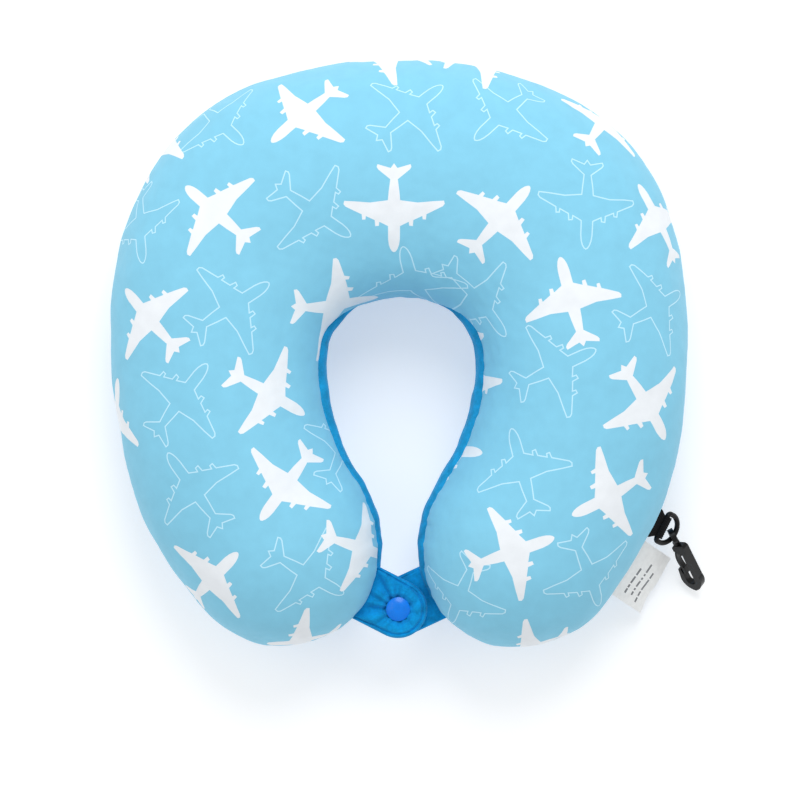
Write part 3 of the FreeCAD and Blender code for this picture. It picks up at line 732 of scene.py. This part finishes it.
def make_round_panel(name, materials, first_polar, inset, step):
    """A panel that closes underneath: its rows go round the section from one edge to the other."""
    turns = np.linspace(-END_TURN, END_TURN, round(2 * END_TURN * OUTER_RADIUS / step))
    rows = round(math.pi * TUBE_RADIUS / step / 2)
    share = np.linspace(0, 1, rows)
    across = np.concatenate([np.ones(rows), -np.ones(rows - 1)])
    spins = np.where(across > 0, 0.0, math.pi)
    share_all = np.concatenate([share, share[-2::-1]])
    count = len(share_all)
    turn_all = np.repeat(turns, count)
    across_all = np.tile(across, len(turns))
    start = first_polar(turn_all, np.tile(spins, len(turns)))
    polar = start + (math.pi - start) * np.tile(share_all, len(turns))
    points, _ = surface(turn_all, across_all, np.zeros(len(turn_all)), polar, inset)
    spread = (math.pi - polar) * PLAN_TUBE
    plan = np.stack([turn_all * PLAN_BEND, across_all * spread], axis=1)
    faces = [face[::-1] for face in strip_faces(len(turns), count)]
    for sign, row in ((1, len(turns) - 1), (-1, 0)):
        fan = np.linspace(0, math.pi, count)[1:-1]
        base = len(points)
        steps = share[:-1]
        fan_all = np.repeat(fan, len(steps))
        begin = first_polar(np.full(len(fan_all), END_TURN), fan_all)
        polar_all = begin + (math.pi - begin) * np.tile(steps, len(fan))
        end = np.full(len(fan_all), sign * END_TURN)
        tip, _ = surface(end, np.cos(fan_all), np.sin(fan_all), polar_all, inset)
        points = np.concatenate([points, tip])
        spread = (math.pi - polar_all) * PLAN_TUBE
        tip_plan = np.stack(
            [sign * (END_TURN * PLAN_BEND + np.sin(fan_all) * spread), np.cos(fan_all) * spread],
            axis=1,
        )
        plan = np.concatenate([plan, tip_plan])
        edge = row * count
        first = [edge + index for index in range(rows)]
        last = [edge + count - 1 - index for index in range(rows)]
        rings = [first]
        for k in range(len(fan)):
            corner = base + k * (rows - 1)
            rings.append(list(range(corner, corner + rows - 1)) + [first[-1]])
        rings.append(last)
        for here, there in zip(rings, rings[1:]):
            for j in range(rows - 1):
                quad = [here[j], there[j], there[j + 1], here[j + 1]]
                quad = list(dict.fromkeys(quad))
                faces.append(quad if sign > 0 else quad[::-1])
    obj = new_mesh(name, points, faces, materials)
    keep_vector(obj, "plan", plan)
    return obj


def turn_in_edge(obj, depth):
    """Folds the open edge of a panel inwards, against the other panel's."""
    mesh = obj.data
    mesh.update()
    points = [vertex.co / MM for vertex in mesh.vertices]
    faces = [list(polygon.vertices) for polygon in mesh.polygons]
    rim = open_edges(faces)
    plan = np.zeros(len(points) * 3)
    mesh.attributes["plan"].data.foreach_get("vector", plan)
    plan = plan.reshape(-1, 3)
    lip_of = {}
    lip_plan = []
    for index in sorted({index for pair in rim for index in pair}):
        lip_of[index] = len(points)
        points.append(points[index] - mesh.vertices[index].normal * depth)
        lip_plan.append(plan[index])
    for first, second in rim:
        faces.append([second, first, lip_of[first], lip_of[second]])
    name = obj.name
    materials = list(mesh.materials)
    bpy.data.objects.remove(obj)
    bpy.data.meshes.remove(mesh)
    made = new_mesh(name, [tuple(point) for point in points], faces, materials)
    keep_vector(made, "plan", np.concatenate([plan, lip_plan]))
    return made


front = make_front_panel()
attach(front, "pillow")
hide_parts("front_panel")

back = make_round_panel("back_panel_plush", [BLUE_PLUSH], seam_polar, 0.0, PANEL_STEP)
back = turn_in_edge(back, LIP)
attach(back, "pillow")
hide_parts("back_panel")

filling = make_round_panel("bead_mass", [BEADS], lambda turn, spin: 0.0 * spin, 3.2, 3.2)
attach(filling, "pillow")
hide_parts("bead_filling")

# ---------------------------------------------------------------- the two tabs

SNAP_X, SNAP_Y = -1.0, -134.0
CAP_RADIUS = 6.2
TAB_RADIUS = 15.1
TAB_TUCK = 7.5
TAB_SPINS = 240
TAB_RINGS = 46


def tab_outline(spin, reach):
    """Distance from the snap to the tab's edge: a round free end, and straight sides back to its root."""
    side = TAB_RADIUS / np.maximum(np.abs(np.sin(spin)), 1e-6)
    back = (reach + TAB_TUCK) / np.maximum(-np.cos(spin), 1e-6)
    straight = np.minimum(side, back)
    return np.where(np.cos(spin) >= 0, TAB_RADIUS, straight)


def tab_folds(spin, radius, edge, creases, depth):
    """Creases that run out from the snap, widening, and fade before the rim."""
    total = np.zeros(len(spin))
    for angle, strength, width in creases:
        away = np.angle(np.exp(1j * (spin - math.radians(angle))))
        spread = math.radians(width) * (1 + 2.0 / np.maximum(radius, 2))
        total -= strength * np.exp(-((away / spread) ** 2))
    fade = eased(radius, 3.0, CAP_RADIUS + 0.6) * eased(edge, 1.2, 5.5)
    return depth * total * fade


def tab_side(spin, radius, edge, reach, look):
    """How far one face of a tab stands off its flat middle."""
    puff = look["puff"] * eased(radius, CAP_RADIUS - 0.6, CAP_RADIUS + 2.6) * eased(edge, 1.4, 5.0)
    rim = 0.9 * np.exp(-(((edge - 1.2) / 0.7) ** 2)) + 0.55 * np.exp(-(((edge - 3.2) / 0.7) ** 2))
    rim -= 0.5 * np.exp(-(((edge - 2.2) / 0.35) ** 2))
    rim *= look["rim"]
    folds = tab_folds(spin, radius, edge, look["creases"], look["depth"])
    place = np.stack([radius * np.cos(spin), radius * np.sin(spin), np.zeros(len(spin))], axis=1)
    nap = 0.07 * waves(place, 21, 30, 1.4, 3.2) + 0.25 * waves(place, 22, 10, 7, 14) * eased(radius, 6, 9)
    return puff + rim + folds + nap * look["nap"]


def make_tab(name, bearing, reach, low, high, top_look, low_look, nodes):
    """A soft plush tab round the snap, closed all round, with its root tucked into the seam."""
    turn = math.radians(bearing)
    spins = np.linspace(0, 2 * math.pi, TAB_SPINS, endpoint=False)
    parts = np.linspace(0, 1, TAB_RINGS) ** 0.85
    spin = np.tile(spins, TAB_RINGS)
    hole = 1.6
    limit = tab_outline(spin, reach)
    radius = hole + (limit - hole) * np.repeat(parts, TAB_SPINS)
    edge = limit - radius
    middle = (low + high) / 2
    half = (high - low) / 2
    rounding = np.sqrt(np.clip(1 - (1 - np.clip(edge / 1.3, 0, 1)) ** 2, 0, 1))
    top = middle + (half + tab_side(spin, radius, edge, reach, top_look)) * rounding
    bottom = middle - (half + tab_side(spin, radius, edge, reach, low_look)) * rounding
    local = np.stack([radius * np.cos(spin), radius * np.sin(spin)], axis=1)
    x = SNAP_X + local[:, 0] * math.cos(turn) - local[:, 1] * math.sin(turn)
    y = SNAP_Y + local[:, 0] * math.sin(turn) + local[:, 1] * math.cos(turn)
    inner = slice(0, len(x) - TAB_SPINS)
    points = np.concatenate(
        [np.stack([x, y, top], axis=1), np.stack([x[inner], y[inner], bottom[inner]], axis=1)]
    )
    count = TAB_RINGS * TAB_SPINS
    faces = [face[::-1] for face in strip_faces(TAB_RINGS, TAB_SPINS, closed=True)]
    faces += strip_faces(TAB_RINGS - 1, TAB_SPINS, closed=True, start=count)
    for here in range(TAB_SPINS):
        there = (here + 1) % TAB_SPINS
        last = count + (TAB_RINGS - 2) * TAB_SPINS
        rim = (TAB_RINGS - 1) * TAB_SPINS
        faces.append([last + here, last + there, rim + there, rim + here])
        faces.append([here, there, count + there, count + here])
    tab = new_mesh(name, points, faces, [TAB_PLUSH])
    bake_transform(tab)
    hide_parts(*nodes)


# Creases are (direction from the tab's axis in degrees, strength, width in degrees).
BUTTON_TOP = {
    "puff": 2.6,
    "rim": 1.0,
    "depth": 2.3,
    "nap": 1.0,
    "creases": [
        (12, 0.35, 6), (48, 0.55, 7), (88, 0.4, 6), (118, 0.9, 9), (152, 1.3, 8),
        (181, 0.8, 6), (207, 1.5, 9), (243, 0.75, 7), (272, 0.4, 6), (305, 0.7, 8), (336, 0.45, 6),
    ],
}
BUTTON_UNDER = {
    "puff": 0.3,
    "rim": 0.4,
    "depth": 0.5,
    "nap": 0.6,
    "creases": [(40, 0.6, 9), (160, 0.7, 9), (280, 0.5, 9)],
}
STUD_TOP = {
    "puff": 0.25,
    "rim": 0.3,
    "depth": 0.3,
    "nap": 0.6,
    "creases": [(70, 0.5, 9), (190, 0.6, 10)],
}
STUD_UNDER = {
    "puff": 0.8,
    "rim": 0.8,
    "depth": 0.8,
    "nap": 1.0,
    "creases": [(30, 0.6, 8), (140, 0.8, 9), (220, 0.7, 9)],
}

make_tab(
    "button_tab_plush", -27, 13.6, 52.6, 55.2, BUTTON_TOP, BUTTON_UNDER,
    ["button_tab_face", "button_tab_lining"],
)
make_tab(
    "stud_tab_plush", 205, 16.4, 46.4, 49.0, STUD_TOP, STUD_UNDER,
    ["stud_tab_face", "stud_tab_lining"],
)

# ---------------------------------------------------------------- the webbing loop and the label


def tilted_frame(x, y, z, bearing, slope):
    """A frame at a point, its X out along a bearing and down a slope, its Y level along the seam."""
    turned = Matrix.Rotation(math.radians(bearing), 4, "Z") @ Matrix.Rotation(math.radians(slope), 4, "Y")
    return Matrix.Translation((x, y, z)) @ turned


def through(matrix, points):
    grid = np.array(matrix)
    return points @ grid[:3, :3].T + grid[:3, 3]


STRAP_FRAME = tilted_frame(132.6, -89.7, 35.2, -26.6, 36)
STRAP_LAYER = 1.2
STRAP_REACH = 6.8
STRAP_TUCK = 4.0
BAR_BORE = 1.5
ROOT_HALF, FOLD_HALF = 8.15, 6.1


def make_strap():
    """Black tape folded round the D-ring's bar, ribbed along its length, its ends in the seam."""
    ring = BAR_BORE + STRAP_LAYER / 2
    lift = STRAP_LAYER / 2
    meet = STRAP_REACH - math.sqrt(ring**2 - lift**2)
    opening = math.asin(lift / ring)
    straight = np.linspace(-STRAP_TUCK, meet, 26)
    angles = np.linspace(math.pi - opening, -math.pi + opening, 44)
    line = [(x, lift) for x in straight[:-1]]
    line += [(STRAP_REACH + ring * math.cos(a), ring * math.sin(a)) for a in angles]
    line += [(x, -lift) for x in straight[-2::-1]]
    line = np.array(line)
    # The sewn-in ends turn level, into the seam.
    line[:, 1] += np.minimum(line[:, 0], 0.0)
    ahead = np.gradient(line, axis=0)
    ahead /= np.linalg.norm(ahead, axis=1)[:, None]
    normal = np.stack([-ahead[:, 1], ahead[:, 0]], axis=1)
    columns = 75
    side = np.linspace(-1, 1, columns)
    width = ROOT_HALF + (FOLD_HALF - ROOT_HALF) * eased(line[:, 0], 0.0, STRAP_REACH - ring)
    run = np.concatenate([[0.0], np.cumsum(np.linalg.norm(np.diff(line, axis=0), axis=1))])
    rings, plans = [], []
    for face in (1, -1):
        selvedge = 1 - 0.35 * np.exp(-(((1 - np.abs(side)) / 0.03) ** 2))
        ribs = 1 + 0.17 * np.sin(side * ROOT_HALF * 2 * math.pi / 1.55)
        half = STRAP_LAYER / 2 * selvedge * (ribs if face > 0 else 1.0) * 0.94
        x = line[:, 0][:, None] + face * normal[:, 0][:, None] * half
        z = line[:, 1][:, None] + face * normal[:, 1][:, None] * half
        y = width[:, None] * side * np.ones_like(x)
        rings.append(np.stack([x, y, z], axis=2))
        plans.append(np.stack([y, run[:, None] * np.ones_like(x), 0 * x], axis=2))
    rows = len(line)
    loop = np.concatenate([rings[0], rings[1][:, ::-1]], axis=1)
    plan = np.concatenate([plans[0], plans[1][:, ::-1]], axis=1)
    faces = strip_faces(rows, 2 * columns, closed=True)
    for row in (0, rows - 1):
        start = row * 2 * columns
        for k in range(columns - 1):
            quad = [start + k, start + k + 1, start + 2 * columns - 2 - k, start + 2 * columns - 1 - k]
            faces.append(quad[::-1] if row == 0 else quad)
    points = through(STRAP_FRAME, loop.reshape(-1, 3))
    strap = new_mesh("strap_tape", points, faces, [WEBBING])
    keep_vector(strap, "plan", plan.reshape(-1, 3))
    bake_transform(strap)
    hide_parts("strap_webbing")


LABEL_FRAME = tilted_frame(119.2, -113.2, 33.0, -34, 52)
LABEL_REACH = 31.0
LABEL_HALF = 16.5
LABEL_TUCK = 3.0


def label_rise(x, y):
    """The label's soft bow, with the corner nearer the hook lifting."""
    out = np.clip(x / LABEL_REACH, 0, 1)
    bow = 1.1 * np.sin(math.pi * out) * (0.6 + 0.4 * y / LABEL_HALF)
    lift = -0.6 * out**2 * eased(y, 2.0, LABEL_HALF) + 2.2 * out * eased(-y, 4.0, LABEL_HALF)
    return bow + lift + 0.35 * out * np.sin(y / 4.3 + 1.2)


def printed_dashes(x, y):
    """Where the label's generic care marks are: three rows of plain dashes, standing for its print."""
    marks = np.zeros(len(x), bool)
    dashes = (
        (9.5, ((-12.0, -9.4), (-8.6, -6.8), (-6.0, -1.9), (-1.0, 3.2))),
        (15.5, ((-11.2, -8.9), (-8.0, -6.9), (-6.0, -2.4), (-1.4, -0.2), (0.8, 2.2), (3.1, 8.0))),
        (21.5, ((-13.2, -10.6), (-9.7, -6.9), (-6.0, 0.6), (1.5, 4.9))),
    )
    for row, spans in dashes:
        on_row = np.abs(x - row) < 0.85
        for low, high in spans:
            marks |= on_row & (y > low) & (y < high)
    return marks


def make_label():
    """A satin strip folded double at its free end and sewn into the seam."""
    out = np.arange(-LABEL_TUCK, LABEL_REACH + 0.01, 0.4)
    side = np.arange(-LABEL_HALF, LABEL_HALF + 0.01, 0.3)
    gap = 0.16 + 0.5 * np.sin(math.pi * np.clip(out / LABEL_REACH, 0, 1)) ** 0.5
    points, plan = [], []
    for sign, order in ((1, range(len(out))), (-1, range(len(out) - 1, -1, -1))):
        for index in order:
            x = np.full(len(side), out[index])
            rise = label_rise(x, side) + sign * gap[index]
            points.append(np.stack([x, side, rise], axis=1))
            run = out[index] if sign > 0 else 2 * LABEL_REACH - out[index]
            plan.append(np.stack([np.full(len(side), run), side], axis=1))
    points, plan = np.concatenate(points), np.concatenate(plan)
    faces = strip_faces(2 * len(out), len(side))
    middles = plan[np.array(faces)].mean(axis=1)
    slots = printed_dashes(middles[:, 0], middles[:, 1]).astype(int).tolist()
    label = new_mesh("care_label_satin", through(LABEL_FRAME, points), faces, [SATIN, SATIN_INK], slots)
    keep_vector(label, "plan", plan)
    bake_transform(label)
    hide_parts("care_label")


make_strap()
make_label()

# ---------------------------------------------------------------- hard parts kept from the frame

EDGE_ROUNDING = 0.45

for node, material in (
    ("snap_cap", BLUE_SNAP),
    ("snap_socket", BLUE_SNAP),
    ("snap_stud", BLUE_SNAP),
    ("snap_stud_cap", BLUE_SNAP),
    ("d_ring", BLACK_PLASTIC),
    ("swivel_eye", BLACK_PLASTIC),
    ("hook_body", BLACK_PLASTIC),
    ("hook_gate", BLACK_PLASTIC),
):
    data = NODES[node].data
    if not data.materials:
        data.materials.append(material)
    for index in range(len(data.materials)):
        data.materials[index] = material
    data.polygons.foreach_set("use_smooth", [True] * len(data.polygons))
    data.set_sharp_from_angle(angle=math.radians(35))
    rounding = NODES[node].modifiers.new("rounded_edges", "BEVEL")
    rounding.width = EDGE_ROUNDING * MM
    rounding.segments = 3
    rounding.limit_method = "ANGLE"
    rounding.angle_limit = math.radians(40)
    rounding.harden_normals = True

# ---------------------------------------------------------------- floor, light and camera


def make_floor():
    reach = 4000.0
    corners = [(-reach, -reach, 0), (reach, -reach, 0), (reach, reach, 0), (-reach, reach, 0)]
    pale = Material("pale_floor", 0.95, 0.0)
    stops = [(0.0, linear(222, 222, 222)), (1.0, linear(226, 226, 226))]
    pale.colour(pale.ramp(pale.noise(400.0, 2.0), stops))
    pale.set("Emission Color", (1, 1, 1, 1))
    pale.set("Emission Strength", 0.42)
    floor = new_mesh("floor", corners, [[0, 1, 2, 3]], [pale.data])


def add_light(name, place, target, size, power):
    data = bpy.data.lights.new(name, "AREA")
    data.shape = "DISK"
    data.size = size
    data.energy = power
    light = bpy.data.objects.new(name, data)
    light.location = place
    light.rotation_mode = "QUATERNION"
    light.rotation_quaternion = (Vector(target) - Vector(place)).to_track_quat("-Z", "Y")
    bpy.context.scene.collection.objects.link(light)


def make_studio():
    scene = bpy.context.scene
    scene.view_settings.view_transform = "Standard"
    world = bpy.data.worlds.new("studio")
    world.use_nodes = True
    world.node_tree.nodes["Background"].inputs["Color"].default_value = (1, 1, 1, 1)
    world.node_tree.nodes["Background"].inputs["Strength"].default_value = 0.66
    scene.world = world
    middle = (0.0, 0.0, 0.04)
    add_light("key", (0.15, 0.95, 1.35), middle, 0.9, 12)
    add_light("fill", (-0.9, 0.2, 1.5), middle, 1.2, 2.5)


def make_camera():
    """Straight above, with the U's mouth at the bottom of the picture."""
    data = bpy.data.cameras.new("camera")
    data.lens = 169
    data.sensor_width = 36
    data.clip_start = 0.05
    data.clip_end = 20
    camera = bpy.data.objects.new("camera", data)
    camera.location = (0, -0.0257, 2.0)
    camera.rotation_euler = (0, 0, 0)
    bpy.context.scene.collection.objects.link(camera)
    bpy.context.scene.camera = camera


make_floor()
make_studio()
make_camera()
